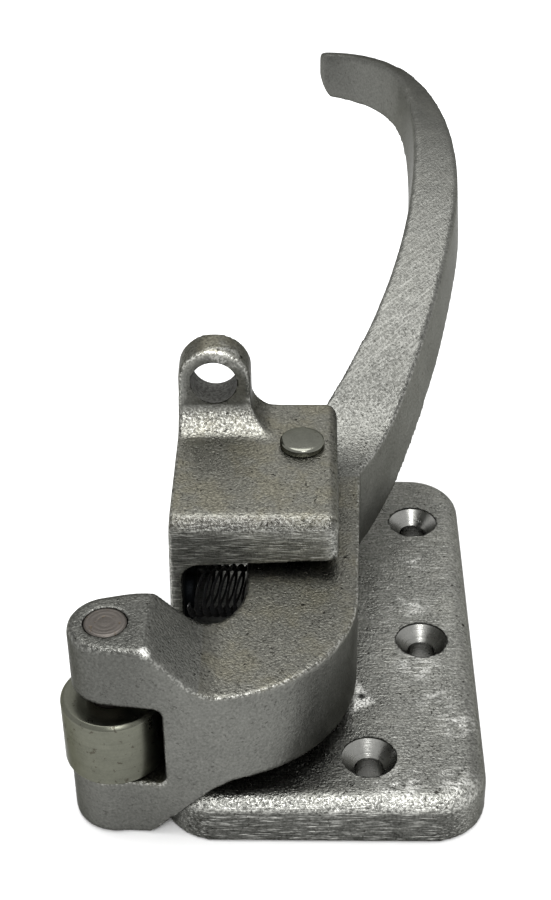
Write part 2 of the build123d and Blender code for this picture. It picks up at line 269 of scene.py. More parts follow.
# An outline of (radius, height) turned about an upright axis, with the corners listed in rounded made round
def turned_mesh(name, outline, place, steps, rounding=0.0, rounded=()):
    near = 1e-7
    shape = bmesh.new()
    points = [shape.verts.new((radius, 0, height)) for radius, height in outline]
    edges = [shape.edges.new((first, second)) for first, second in zip(points, points[1:])]
    bmesh.ops.spin(
        shape,
        geom=points + edges,
        cent=(0, 0, 0),
        axis=(0, 0, 1),
        dvec=(0, 0, 0),
        angle=math.tau,
        steps=steps,
        use_merge=True,
        use_normal_flip=False,
        use_duplicate=False,
    )
    bmesh.ops.remove_doubles(shape, verts=shape.verts, dist=near)
    bmesh.ops.recalc_face_normals(shape, faces=shape.faces)
    if rounding:
        rings = []
        for edge in shape.edges:
            ends = edge.verts
            heights = [end.co.z for end in ends]
            radii = [end.co.xy.length for end in ends]
            if abs(heights[0] - heights[1]) > near or abs(radii[0] - radii[1]) > near:
                continue
            for radius, height in rounded:
                if abs(heights[0] - height) < near and abs(radii[0] - radius) < near:
                    rings.append(edge)
        bmesh.ops.bevel(
            shape,
            geom=rings,
            offset=rounding,
            offset_type="OFFSET",
            affect="EDGES",
            segments=3,
            profile=0.5,
            material=-1,
        )
    bmesh.ops.transform(shape, matrix=place, verts=shape.verts)
    mesh = bpy.data.meshes.new(name)
    shape.to_mesh(mesh)
    shape.free()
    return mesh


def merged_copy(node_name):
    shape = bmesh.new()
    shape.from_mesh(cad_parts[node_name].data)
    bmesh.ops.remove_doubles(shape, verts=shape.verts, dist=1e-6)
    return shape


# Between 0 and 1
def share(value):
    return max(0.0, min(1.0, value))


# The mesh of an object with its modifiers applied. The object itself is removed
def applied(piece):
    ready = piece.evaluated_get(bpy.context.evaluated_depsgraph_get())
    mesh = bpy.data.meshes.new_from_object(ready)
    old = piece.data
    bpy.data.objects.remove(piece)
    bpy.data.meshes.remove(old)
    return mesh


def smooth(shape, verts, passes, axes=(True, True, True)):
    for _ in range(passes):
        bmesh.ops.smooth_vert(
            shape, verts=verts, factor=0.5, use_axis_x=axes[0], use_axis_y=axes[1], use_axis_z=axes[2]
        )


def remeshed(name, shape, step):
    mesh = bpy.data.meshes.new(name)
    shape.to_mesh(mesh)
    piece = bpy.data.objects.new(name, mesh)
    bpy.context.collection.objects.link(piece)
    remesh = piece.modifiers.new("Even faces", "REMESH")
    remesh.mode = "VOXEL"
    remesh.voxel_size = step
    remesh.adaptivity = 0.0
    return applied(piece)


# A casting's skin: even faces drawn onto the solid, rounded at its edges, with low waves
def cast_skin(name, shape, settings):
    tree = BVHTree.FromBMesh(shape)
    mesh = remeshed(name, shape, settings.mesh_step)
    skin = bmesh.new()
    skin.from_mesh(mesh)
    bpy.data.meshes.remove(mesh)
    for vert in skin.verts:
        near = tree.find_nearest(vert.co)
        if near[0] is not None:
            vert.co = near[0]
    smooth(skin, skin.verts, settings.edge_passes)
    skin.normal_update()
    edge_layer = skin.verts.layers.float.new("edge")
    for vert in skin.verts:
        place, normal = tree.find_nearest(vert.co)[:2]
        inside = (vert.co - place).dot(normal)
        vert[edge_layer] = max(-1.0, min(1.0, -inside / WORN_DEPTH))
    for vert in skin.verts:
        spot = vert.co / MM
        wave = 0.5 + 0.5 * noise.noise(spot / WAVE_LENGTH)
        ripple = 0.5 + 0.5 * noise.noise(spot / RIPPLE_LENGTH + RIPPLE_SHIFT)
        vert.co -= vert.normal * settings.unevenness * (0.55 * wave + 0.45 * ripple)
    return skin


def write_paints(shape, values):
    for name, marks in values.items():
        layer = shape.verts.layers.float.new(name)
        for vert, mark in zip(shape.verts, marks):
            vert[layer] = mark


# Node helpers
def node(tree, kind, **settings):
    made = tree.nodes.new(kind)
    for name, value in settings.items():
        setattr(made, name, value)
    return made


def feed(tree, socket, value):
    if isinstance(value, bpy.types.NodeSocket):
        tree.links.new(value, socket)
    else:
        socket.default_value = value


def calc(tree, operation, first, second=0.0):
    made = node(tree, "ShaderNodeMath", operation=operation)
    for socket, value in zip(made.inputs, (first, second)):
        feed(tree, socket, value)
    return made.outputs[0]


# Rises from 0 at low to 1 at high
def between(tree, value, low, high):
    made = node(tree, "ShaderNodeMapRange", interpolation_type="SMOOTHSTEP")
    feed(tree, made.inputs["Value"], value)
    made.inputs["From Min"].default_value = low
    made.inputs["From Max"].default_value = high
    return made.outputs["Result"]


def blend_color(tree, amount, first, second):
    made = node(tree, "ShaderNodeMix", data_type="RGBA")
    feed(tree, made.inputs[0], amount)
    for socket, value in ((made.inputs[6], first), (made.inputs[7], second)):
        feed(tree, socket, (*value, 1.0) if isinstance(value, tuple) else value)
    return made.outputs[2]


def scale_color(tree, color, factor):
    made = node(tree, "ShaderNodeVectorMath", operation="SCALE")
    feed(tree, made.inputs[0], color)
    feed(tree, made.inputs["Scale"], factor)
    return made.outputs[0]


def grain(tree, place, size, detail=2.0, roughness=0.5):
    made = node(tree, "ShaderNodeTexNoise")
    feed(tree, made.inputs["Vector"], place)
    made.inputs["Scale"].default_value = 1.0 / size
    made.inputs["Detail"].default_value = detail
    made.inputs["Roughness"].default_value = roughness
    return made.outputs[0]


def cells(tree, place, size):
    made = node(tree, "ShaderNodeTexVoronoi", feature="F1")
    feed(tree, made.inputs["Vector"], place)
    made.inputs["Scale"].default_value = 1.0 / size
    return made.outputs["Distance"], made.outputs["Color"]


def placed(tree, place, turn, scale=(1.0, 1.0, 1.0), kind="POINT"):
    made = node(tree, "ShaderNodeMapping", vector_type=kind)
    feed(tree, made.inputs["Vector"], place)
    made.inputs["Rotation"].default_value = turn
    made.inputs["Scale"].default_value = scale
    return made.outputs[0]


def painted(tree, name):
    made = node(tree, "ShaderNodeAttribute", attribute_name=name)
    return made.outputs["Fac"]


def bump(tree, height, distance, strength=1.0):
    made = node(tree, "ShaderNodeBump")
    made.inputs["Strength"].default_value = strength
    made.inputs["Distance"].default_value = distance
    feed(tree, made.inputs["Height"], height)
    return made.outputs[0]


def new_material(name):
    material = bpy.data.materials.new(name)
    material.use_nodes = True
    tree = material.node_tree
    shader = tree.nodes["Principled BSDF"]
    place = node(tree, "ShaderNodeTexCoord").outputs["Object"]
    return material, tree, shader, place


# Pits: small dark holes at some cells only
def pits(tree, place, size, radius, portion):
    distance, color = cells(tree, place, size)
    chosen = node(tree, "ShaderNodeSeparateColor")
    feed(tree, chosen.inputs[0], color)
    width = calc(tree, "SUBTRACT", chosen.outputs[0], 1.0 - portion)
    width = calc(tree, "MULTIPLY", width, radius / portion)
    width = calc(tree, "MAXIMUM", width, 0.0001)
    depth = calc(tree, "SUBTRACT", 1.0, calc(tree, "DIVIDE", distance, width))
    depth = calc(tree, "MINIMUM", calc(tree, "MULTIPLY", depth, 2.0), 1.0)
    return calc(tree, "MAXIMUM", depth, 0.0)


# Sand-cast metal. Its sanding streaks run at streak_turn degrees from the X axis
def cast_material(name, settings, streak_turn):
    material, tree, shader, place = new_material(name)
    edge = painted(tree, "edge")
    sanded, stained, housing_shade, painted_glint, calm, scratch_and_glint, shade = [painted(tree, mark) for mark in PAINTS]
    rough = calc(tree, "SUBTRACT", 1.0, calc(tree, "MULTIPLY", calm, 0.62))

    # Grain of the skin, dark specks and holes
    fine = grain(tree, place, FINE_GRAIN, detail=2.0, roughness=0.7)
    salt = grain(tree, placed(tree, place, (0.7, 0.3, 1.1)), SALT_GRAIN, detail=1.0, roughness=0.6)
    cloud = grain(tree, place, CLOUD_SIZE, detail=4.0, roughness=0.6)
    patch = between(tree, grain(tree, place, PATCH_SIZE, detail=2.0), 0.42, 0.60)
    specks = grain(tree, placed(tree, place, (0.4, 0.9, 0.2)), SPECK_SIZE, detail=2.0, roughness=0.6)
    specks = between(tree, specks, 0.60, 0.68)
    specks = calc(tree, "MULTIPLY", specks, calc(tree, "ADD", 0.30, calc(tree, "MULTIPLY", patch, 0.60)))
    hole = calc(tree, "MAXIMUM", specks, pits(tree, place, PIT_SPACING, 0.14, 0.25))
    hole = calc(tree, "MULTIPLY", hole, rough)

    # Tone and stain
    swing = calc(tree, "ADD", fine, calc(tree, "MULTIPLY", salt, 1.6))
    swing = calc(tree, "MULTIPLY", calc(tree, "SUBTRACT", swing, 1.3), rough)
    tone = calc(tree, "ADD", swing, calc(tree, "ADD", 0.78, calc(tree, "MULTIPLY", cloud, 0.44)))
    stain = calc(tree, "MULTIPLY", between(tree, cloud, 0.42, 0.68), 0.75)
    stain = calc(tree, "MULTIPLY", stained, calc(tree, "ADD", 0.45, stain))
    metal = blend_color(tree, stain, tuple(settings.metal_color), tuple(settings.stain_color))

    # Streaks left by sanding, scratches where it is sanded most, and the scratches and painted glints broken
    # up by the grain
    level = streak_turn == 0.0
    turn = (0.0, 0.0, math.radians(streak_turn))
    along = placed(tree, place, turn, (14.0, 1.0, 1.0 if level else 1000.0), "TEXTURE")
    streak = grain(tree, along, (0.34 if level else 0.55) * MM, detail=2.0, roughness=0.7)
    scratch = calc(tree, "MAXIMUM", calc(tree, "SUBTRACT", sanded, 0.75), 0.0)
    scratch = calc(tree, "MULTIPLY", scratch, 3.0)
    scratch = calc(tree, "MULTIPLY", scratch, between(tree, streak, 0.60, 0.70))
    scratch_and_glint = calc(tree, "MULTIPLY", scratch_and_glint, between(tree, fine, 0.38, 0.54))
    scratch_and_glint = calc(tree, "MAXIMUM", scratch_and_glint, scratch)

    # Bright metal where it is sanded or worn, and painted highlight on rounded edges that face up and
    # forward
    wear_and_glint = calc(tree, "MULTIPLY", between(tree, edge, 0.15, 0.8), 0.6)
    wear_and_glint = calc(tree, "MULTIPLY", calc(tree, "MAXIMUM", wear_and_glint, painted_glint), between(tree, salt, 0.46, 0.60))
    bright = calc(tree, "MULTIPLY", sanded, between(tree, streak, 0.50, 0.66))
    bright = calc(tree, "MAXIMUM", bright, wear_and_glint)
    metal = blend_color(tree, bright, metal, tuple(settings.bright_color))
    drawn = calc(tree, "MULTIPLY", calc(tree, "SUBTRACT", streak, 0.5), sanded)
    tone = calc(tree, "ADD", tone, calc(tree, "MULTIPLY", drawn, 2.2))
    # The shade mark is painted light and shade: faces are made lighter or darker by how they face the lamps
    metal = scale_color(tree, metal, calc(tree, "MULTIPLY", tone, shade))

    # Scratches with painted glints, holes, and painted shade inside the housing lie over the rest
    metal = blend_color(tree, scratch_and_glint, metal, (0.80, 0.80, 0.76))
    metal = blend_color(tree, hole, metal, tuple(settings.pit_color))
    metal = blend_color(tree, housing_shade, metal, tuple(settings.housing_shade_color))
    feed(tree, shader.inputs["Base Color"], metal)
    metallic = calc(tree, "SUBTRACT", 1.0, calc(tree, "MULTIPLY", scratch_and_glint, 0.75))
    feed(tree, shader.inputs["Metallic"], metallic)
    shader.inputs["Specular Tint"].default_value = CAST_GRAZING

    dull = calc(tree, "ADD", 0.20, calc(tree, "MULTIPLY", cloud, 0.18))
    dull = calc(tree, "ADD", dull, calc(tree, "MULTIPLY", calm, 0.08))
    dull = calc(tree, "SUBTRACT", dull, calc(tree, "MULTIPLY", painted_glint, 0.08))
    dull = calc(tree, "ADD", dull, calc(tree, "MULTIPLY", housing_shade, 0.40))
    feed(tree, shader.inputs["Roughness"], dull)

    height = calc(tree, "ADD", rough, calc(tree, "MULTIPLY", painted_glint, 1.6))
    height = calc(tree, "MULTIPLY", calc(tree, "ADD", fine, salt), height)
    height = calc(tree, "SUBTRACT", height, calc(tree, "MULTIPLY", hole, 0.6))
    height = calc(tree, "ADD", height, calc(tree, "MULTIPLY", calc(tree, "MULTIPLY", sanded, streak), 1.8))
    feed(tree, shader.inputs["Normal"], bump(tree, height, SKIN_RELIEF, 1.0))
    return material


# Rough grey wall of the padlock hole: painted shade, a dark dull grey in place of the cast metal
def shaded_bore_material():
    material, tree, shader, place = new_material("Padlock hole wall")
    fine = grain(tree, place, 0.7 * MM, detail=3.0, roughness=0.6)
    wall = blend_color(tree, between(tree, fine, 0.35, 0.65), (0.045, 0.044, 0.040), (0.10, 0.10, 0.092))
    feed(tree, shader.inputs["Base Color"], wall)
    shader.inputs["Roughness"].default_value = 0.8
    shader.inputs["Specular IOR Level"].default_value = 0.15
    feed(tree, shader.inputs["Normal"], bump(tree, fine, 0.12 * MM, 0.8))
    return material


# Turned metal with fine rings about an upright axis, or by the painted ring where centre is None
def turned_material(name, color, centre, roughness, ring, ring_depth, nick_share, nick_color):
    material, tree, shader, place = new_material(name)
    parts = node(tree, "ShaderNodeSeparateXYZ")
    if centre is None:
        feed(tree, parts.inputs[0], place)
        radius = painted(tree, "ring")
    else:
        moved = node(tree, "ShaderNodeVectorMath", operation="SUBTRACT")
        feed(tree, moved.inputs[0], place)
        moved.inputs[1].default_value = centre
        feed(tree, parts.inputs[0], moved.outputs[0])
        across = calc(tree, "MULTIPLY", parts.outputs[0], parts.outputs[0])
        along = calc(tree, "MULTIPLY", parts.outputs[1], parts.outputs[1])
        radius = calc(tree, "SQRT", calc(tree, "ADD", across, along))
    ring_place = node(tree, "ShaderNodeCombineXYZ")
    feed(tree, ring_place.inputs[0], radius)
    feed(tree, ring_place.inputs[1], parts.outputs[2])
    rings = grain(tree, ring_place.outputs[0], ring, detail=2.0, roughness=0.7)
    fine = grain(tree, place, 0.5 * MM, detail=3.0, roughness=0.6)
    cloud = grain(tree, place, 4.0 * MM, detail=4.0, roughness=0.6)
    nicks = grain(tree, place, 1.7 * MM, detail=3.0, roughness=0.65)
    nicks = between(tree, nicks, 1.0 - nick_share, 1.06 - nick_share)
    tone = calc(tree, "ADD", calc(tree, "MULTIPLY", cloud, 0.5), calc(tree, "MULTIPLY", rings, 0.3))
    tone = calc(tree, "ADD", tone, calc(tree, "ADD", calc(tree, "MULTIPLY", fine, 0.3), 0.45))
    base = scale_color(tree, color, tone)
    base = blend_color(tree, calc(tree, "MULTIPLY", nicks, 0.8), base, nick_color)
    feed(tree, shader.inputs["Base Color"], base)
    shader.inputs["Metallic"].default_value = 1.0
    shader.inputs["Specular Tint"].default_value = TURNED_GRAZING
    feed(tree, shader.inputs["Roughness"], calc(tree, "ADD", roughness, calc(tree, "MULTIPLY", cloud, 0.2)))
    height = calc(tree, "SUBTRACT", calc(tree, "ADD", rings, calc(tree, "MULTIPLY", fine, 0.5)), nicks)
    feed(tree, shader.inputs["Normal"], bump(tree, height, ring_depth, 0.6))
    return material


def spring_material(settings):
    material, tree, shader, place = new_material("Oiled spring wire")
    cloud = grain(tree, place, 3.0 * MM, detail=3.0, roughness=0.6)
    tint = blend_color(tree, cloud, tuple(settings.spring_color), (0.03, 0.024, 0.018))
    feed(tree, shader.inputs["Base Color"], tint)
    shader.inputs["Specular IOR Level"].default_value = 0.9
    feed(tree, shader.inputs["Roughness"], calc(tree, "ADD", 0.08, calc(tree, "MULTIPLY", cloud, 0.25)))
    feed(tree, shader.inputs["Normal"], bump(tree, grain(tree, place, 0.6 * MM), 0.03 * MM, 0.5))
    return material


# Operators
class LATCH_OT_stage(bpy.types.Operator):
    """Floor, lamps, background and camera"""

    bl_idname = "latch.stage"
    bl_label = "Stage"

    # Place, point aimed at and size of each lamp, in metres
    OVERHEAD = ((-0.05, 0.12, 0.95), (-0.01, 0.05, 0.03), 0.75)
    KEY = ((0.10, -0.62, 0.85), (-0.01, 0.0, 0.03), 0.26)

    # The camera's place in millimetres and its three angles in degrees
    CAMERA_SPOT = (-2.819, -325.291, 293.380)
    CAMERA_DOWN = 35.132
    CAMERA_LEFT = -1.535
    CAMERA_ROLL = -0.794

    def execute(self, context):
        settings = context.scene.latch_stage
        self.lay_floor(settings)
        self.light_background(context.scene, settings)
        self.hang_lamp("Overhead softbox", *self.OVERHEAD, settings.overhead_power)
        self.hang_lamp("Key softbox", *self.KEY, settings.key_power)
        self.place_camera(context.scene, settings)
        context.scene.view_settings.view_transform = "Standard"
        return {"FINISHED"}

    def lay_floor(self, settings):
        shape = bmesh.new()
        bmesh.ops.create_grid(shape, x_segments=1, y_segments=1, size=3.0)
        bmesh.ops.translate(shape, vec=(0, 0, -0.3 * MM), verts=shape.verts)
        mesh = bpy.data.meshes.new("floor")
        shape.to_mesh(mesh)
        shape.free()
        floor = bpy.data.objects.new("floor", mesh)
        bpy.context.collection.objects.link(floor)
        material, tree, shader, place = new_material("Pale paper floor")
        speckle = grain(tree, place, 2.0 * MM)
        light = tuple(settings.floor_color)
        dark = tuple(0.985 * part for part in settings.floor_color)
        feed(tree, shader.inputs["Base Color"], blend_color(tree, speckle, light, dark))
        shader.inputs["Roughness"].default_value = 0.9
        shader.inputs["Specular IOR Level"].default_value = 0.0
        mesh.materials.append(material)

    # White where it is seen or mirrored, and as strong as the setting says where it lights
    def light_background(self, scene, settings):
        world = bpy.data.worlds.new("Studio")
        scene.world = world
        world.use_nodes = True
        tree = world.node_tree
        background = tree.nodes["Background"]
        background.inputs["Color"].default_value = (1.0, 1.0, 1.0, 1.0)
        path = node(tree, "ShaderNodeLightPath")
        seen = calc(tree, "MAXIMUM", path.outputs["Is Camera Ray"], path.outputs["Is Glossy Ray"])
        seen = calc(tree, "MAXIMUM", seen, path.outputs["Is Transmission Ray"])
        rest = calc(tree, "MULTIPLY", calc(tree, "SUBTRACT", 1.0, seen), settings.fill_strength)
        feed(tree, background.inputs["Strength"], calc(tree, "ADD", seen, rest))

    def hang_lamp(self, name, spot, target, size, power):
        light = bpy.data.lights.new(name, "AREA")
        light.shape = "DISK"
        light.size = size
        light.energy = power
        lamp = bpy.data.objects.new(name, light)
        bpy.context.collection.objects.link(lamp)
        aim = Vector(target) - Vector(spot)
        lamp.rotation_euler = aim.to_track_quat("-Z", "Y").to_euler()
        lamp.location = spot
        lamp.visible_camera = False

    def place_camera(self, scene, settings):
        down = math.radians(self.CAMERA_DOWN)
        left = math.radians(self.CAMERA_LEFT)
        roll = math.radians(self.CAMERA_ROLL)
        level = math.cos(down)
        forward = Vector((math.sin(left) * level, math.cos(left) * level, -math.sin(down)))
        right = Vector((math.cos(left), -math.sin(left), 0))
        up = right.cross(forward)
        across = right * math.cos(roll) + up * math.sin(roll)
        upward = up * math.cos(roll) - right * math.sin(roll)
        camera = bpy.data.cameras.new("Camera")
        camera.sensor_fit = "VERTICAL"
        camera.sensor_height = 36.0
        camera.lens = settings.lens
        camera.clip_start = 0.01
        holder = bpy.data.objects.new("Camera", camera)
        bpy.context.collection.objects.link(holder)
        turn = Matrix((across, upward, -forward)).transposed()
        holder.matrix_world = Matrix.Translation(Vector(self.CAMERA_SPOT) * MM) @ turn.to_4x4()
        scene.camera = holder


class LATCH_OT_base(bpy.types.Operator):
    """Cast base with its screw plate, wall, cap and padlock lug"""

    bl_idname = "latch.base_casting"
    bl_label = "Base casting"

    # In millimetres: the holes, then heights, then the marked places
    SCREWS = ((10.2, -47.3), (24.2, -7.1), (24.2, 40.7))
    RIM_R = 6.35
    HOLE_R = 3.4
    RIM_DEPTH = 0.5
    CONE_DEPTH = 3.3
    PLATE_TOP = 12.0
    LUG = (-27.0, 68.4)
    LUG_HOLE_R = 5.7
    LUG_BACK_Y = 31.5
    LUG_CUTTER = ((0, -3), (LUG_HOLE_R, -3), (LUG_HOLE_R, 15), (0, 15))
    WALL_LOW = 14.0
    CAP_LOW = 45.0
    CAP_TOP = 57.0
    LUG_LOW = 60.0
    LUG_MIDDLE = 66.0
    LUG_RIM_LOW = 63.0
    LUG_RIM_BACK_Y = 27.0
    LUG_RIM_R = 6.6
    FLAT_X = -34.4
    FLAT_Y = (12.0, 31.0)
    FLAT_Z = (14.5, 55.0)
    HOUSING_FRONT_Y = -17.0
    HOUSING_LOW = 11.0
    HOUSING_HIGH = 44.0
    WALL_INSIDE_X = -33.7
    BRIGHT_CORNERS = ((7.9, -22.2), (11.8, -29.4), (6.5, -32.8))
    PIT = (9.0, -27.4)
    SCRATCHES_AND_GLINTS = (
        (23.5, 23.0, 12.0, 3.5),
        (21.9, 5.3, 12.0, 4.0),
        (22.6, -17.1, 12.0, 5.0),
        (31.0, -36.3, 12.0, 4.5),
        (26.5, -28.6, 12.0, 4.0),
        (17.0, -56.0, 11.5, 5.0),
        (30.0, -55.0, 11.5, 4.0),
        (-24.0, 22.3, 77.0, 4.5),
        (-0.6, -15.7, 44.5, 4.5),
    )

    def execute(self, context):
        settings = context.scene.latch_casting
        shape = merged_copy("base_casting")
        for x, y in self.SCREWS:
            self.draw_in(shape, Vector((x * MM, y * MM)), self.RIM_R, 0.35, "xy")
        self.draw_in(shape, Vector(self.LUG) * MM, self.LUG_HOLE_R, 0.5, "xz")
        skin = cast_skin("base skin", shape, settings)
        shape.free()
        self.soften_lug(skin, settings)
        self.paint(skin)
        mesh = bpy.data.meshes.new("cast base")
        skin.to_mesh(mesh)
        skin.free()
        mesh = self.cut_screw_holes(mesh)
        cast = cast_material("Sand-cast base", settings, 0.0)
        materials = [cast, self.bare_metal(), shaded_bore_material()]
        finish_mesh("cast_base", mesh, materials, "base", "base_casting")
        return {"FINISHED"}

    # The lug's outer front edge is worn rounder than the rest, and the wall's left side is flat at its back
    def soften_lug(self, skin, settings):
        flat = []
        for vert in skin.verts:
            beside = self.FLAT_Y[0] < vert.co.y / MM < self.FLAT_Y[1]
            level = self.FLAT_Z[0] < vert.co.z / MM < self.FLAT_Z[1]
            if vert.co.x < self.FLAT_X * MM and beside and level:
                flat.append(vert)
        smooth(skin, flat, settings.flat_passes, axes=(True, False, False))
        centre = Vector(self.LUG) * MM
        rim = []
        for vert in skin.verts:
            upper_front = vert.co.z > self.LUG_RIM_LOW * MM and vert.co.y < self.LUG_RIM_BACK_Y * MM
            if upper_front and (vert.co.xz - centre).length > self.LUG_RIM_R * MM:
                rim.append(vert)
        smooth(skin, rim, settings.lug_passes)
        skin.normal_update()

    # A hole is drawn in before the skin is made, and cut again in it with clean edges
    def draw_in(self, shape, centre, radius, factor, plane):
        for vert in shape.verts:
            away = getattr(vert.co, plane) - centre
            if away.length < (radius + 0.1) * MM:
                setattr(vert.co, plane, centre + away * factor)

    def paint(self, skin):
        values = {name: [] for name in PAINTS}
        for vert in skin.verts:
            spot = vert.co / MM
            front = max(0.0, -vert.normal.y)
            top = max(0.0, vert.normal.z)
            rounded = share((2.0 * top * front - 0.35) / 0.45)
            upper = spot.z > self.WALL_LOW
            # Painted shade: darker inside the housing, behind the wall's front and between the plate and the
            # cap
            depth = spot.y - self.HOUSING_FRONT_Y
            housing = min(depth, self.HOUSING_HIGH - spot.z, spot.z - self.HOUSING_LOW)
            housing_shade = share(housing / 1.5) * share((spot.x - self.WALL_INSIDE_X) / 0.4)
            values["housing_shade"].append(housing_shade * share(4.0 - spot.x) * share((26.0 - spot.y) / 10.0))
            wall_front = 0.78 * front if upper and spot.y < -8 else 0.0
            plate_top = 0.30 * top if spot.z < self.WALL_LOW else 0.0
            plate_front = 0.88 * front if spot.z < self.PLATE_TOP else 0.0
            values["sanded"].append(max(wall_front, plate_top, plate_front))
            values["stained"].append(top if spot.z > self.CAP_LOW else 0.15 * top)
            # Painted highlight on the rounded edges that face up and forward, stronger on the plate
            values["painted_glint"].append((0.4 if upper else 0.6) * rounded)
            values["scratch_and_glint"].append(self.scratches_and_glints(spot))
            lightness = self.upper_shade if upper else self.plate_shade
            shade = lightness(spot, front, top, rounded)
            # Painted shade: a dark spot for the pit in the bright triangle
            pit = (spot - Vector((*self.PIT, self.PLATE_TOP))).length
            values["shade"].append(shade * (0.1 + 0.9 * share(pit - 0.5)))
            calm_front = 0.75 * share((front - 0.85) / 0.1)
            calm_side = 0.25 * share(1.0 - top)
            values["calm"].append(calm_front if spot.z > 13 else calm_side)
        write_paints(skin, values)

    # Painted light and shade: how light the wall, the cap and the lug are painted
    def upper_shade(self, spot, front, top, rounded):
        if spot.z < self.CAP_LOW:
            front_gain = 0.9
        else:
            front_gain = 0.5 if spot.z < self.LUG_LOW else 0.0
        edge_gain = 0.40 if spot.z < self.LUG_MIDDLE else 1.1
        if spot.z < self.CAP_TOP and spot.y < 0:
            edge_gain = -0.40
        shade = 1.0 + front_gain * share((front - 0.8) / 0.15) + 0.42 * share((top - 0.9) / 0.1)
        return shade + edge_gain * rounded

    # Painted light and shade on the plate: lighter towards its back, darker on its front face
    def plate_shade(self, spot, front, top, rounded):
        shade = 1.0 + 0.50 * top * share((spot.y + 55.0) / 55.0) - 0.42 * share((front - 0.8) / 0.15)
        return shade + 0.65 * rounded

    # Bright scratches and painted glints: a painted highlight in a triangle with a pit in it, patches by the
    # screws, and painted glints on the lug's top front and at the cap's corner
    def scratches_and_glints(self, spot):
        corners = [Vector(corner) for corner in self.BRIGHT_CORNERS]
        inside = 1.0
        for first, second in zip(corners, corners[1:] + corners[:1]):
            along = (second - first).normalized()
            away = spot.xy - first
            inside = min(inside, share(0.5 - (along.x * away.y - along.y * away.x)))
        on_top = abs(spot.z - self.PLATE_TOP) < 1.0
        inside *= share((spot.xy - Vector(self.PIT)).length - 0.7) if on_top else 0.0
        for x, y, z, radius in self.SCRATCHES_AND_GLINTS:
            away = (spot - Vector((x, y, z))).length / radius
            if away < 1.4:
                patchy = share(3.0 * noise.noise(Vector((spot.x * 0.35, spot.y, spot.z)) / 0.9) + 0.2)
                inside = max(inside, 0.55 * share(1.4 - away) * patchy)
        return inside

    def cut_screw_holes(self, mesh):
        rim_z = self.PLATE_TOP - self.RIM_DEPTH
        cone_z = rim_z - self.CONE_DEPTH
        outline = (
            (0, -1),
            (self.HOLE_R, -1),
            (self.HOLE_R, cone_z),
            (self.RIM_R, rim_z),
            (self.RIM_R, self.PLATE_TOP + 1),
            (0, self.PLATE_TOP + 1),
        )
        outline = [(radius * MM, height * MM) for radius, height in outline]
        plate = bpy.data.objects.new("plate blank", mesh)
        bpy.context.collection.objects.link(plate)
        cutters = []
        for number, (x, y) in enumerate(self.SCREWS):
            place = Matrix.Translation((x * MM, y * MM, 0))
            cutters.append(self.cut(plate, f"screw cutter {number}", outline, place))
        lug_outline = [(radius * MM, height * MM) for radius, height in self.LUG_CUTTER]
        x, z = self.LUG
        place = Matrix.Translation((x * MM, self.LUG_BACK_Y * MM, z * MM))
        place = place @ Matrix.Rotation(math.radians(90), 4, "X")
        cutters.append(self.cut(plate, "lug cutter", lug_outline, place))
        mesh = applied(plate)
        for cutter in cutters:
            old = cutter.data
            bpy.data.objects.remove(cutter)
            bpy.data.meshes.remove(old)
        self.mark_holes(mesh)
        return mesh

    def cut(self, plate, name, outline, place):
        cutter = bpy.data.objects.new(name, turned_mesh(name, outline, place, TURN_STEPS))
        bpy.context.collection.objects.link(cutter)
        cut = plate.modifiers.new(name, "BOOLEAN")
        cut.operation = "DIFFERENCE"
        cut.solver = "EXACT"
        cut.object = cutter
        return cutter

    # The holes' walls get their own materials, and their edges stay sharp
    def mark_holes(self, mesh):
        shape = bmesh.new()
        shape.from_mesh(mesh)
        limit = (self.RIM_R + 0.02) * MM
        centres = [Vector((x, y)) * MM for x, y in self.SCREWS]
        lug = Vector(self.LUG) * MM
        ring = shape.verts.layers.float.new("ring")
        for vert in shape.verts:
            vert[ring] = min((vert.co.xy - centre).length for centre in centres)
        for face in shape.faces:
            face.smooth = True
            face.material_index = 0
            middle = face.calc_center_median()
            for centre in centres:
                if (middle.xy - centre).length < limit:
                    face.material_index = 1
            if (middle.xz - lug).length < (self.LUG_HOLE_R + 0.02) * MM and abs(face.normal.y) < 0.5:
                face.material_index = 2
        for edge in shape.edges:
            if len(edge.link_faces) == 2:
                kinds = {face.material_index for face in edge.link_faces}
                if len(kinds) == 2 or (1 in kinds and edge.calc_face_angle(0.0) > math.radians(25)):
                    edge.smooth = False
        shape.to_mesh(mesh)
        shape.free()

    def bare_metal(self):
        return turned_material(
            "Countersunk metal",
            (0.27, 0.27, 0.255),
            None,
            roughness=0.17,
            ring=0.40 * MM,
            ring_depth=0.09 * MM,
            nick_share=0.32,
            nick_color=(0.10, 0.10, 0.09),
        )


